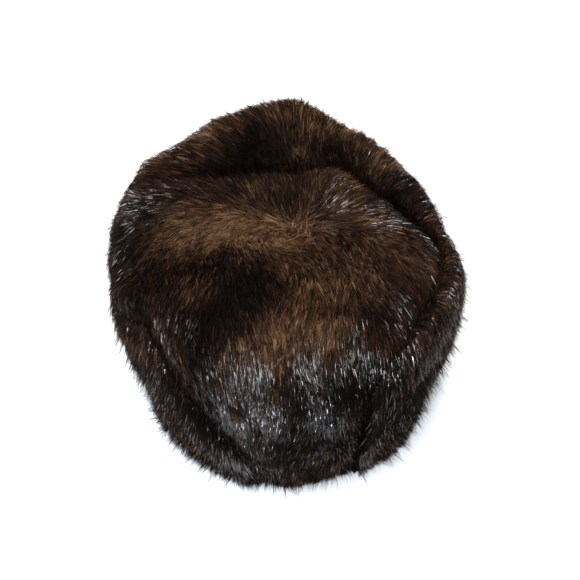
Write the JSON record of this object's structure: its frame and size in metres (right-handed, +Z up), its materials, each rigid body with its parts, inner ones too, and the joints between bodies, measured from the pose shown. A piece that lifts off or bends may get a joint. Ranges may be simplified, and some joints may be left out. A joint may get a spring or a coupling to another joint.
{
  "type": "fur hat",
  "caption": "Dark brown mink-style fur hat with a domed crown and a deep fur cuff turned up round the front and both sides.",
  "frame": {"origin": "on the rim's plane, under the middle of the hat's bounds", "axes": "+Z up from the rim to the crown's top, +Y towards the front of the hat, +X towards the wearer's right"},
  "size_m": [0.247, 0.256, 0.1699],
  "materials": {
    "crown_fur": "glossy fur, brown on top and darker at the sides",
    "cuff_fur": "glossy fur, dark brown"
  },
  "bodies": {
    "root": {"crown": "crown_fur", "cuff": "cuff_fur"}
  },
  "joints": []
}
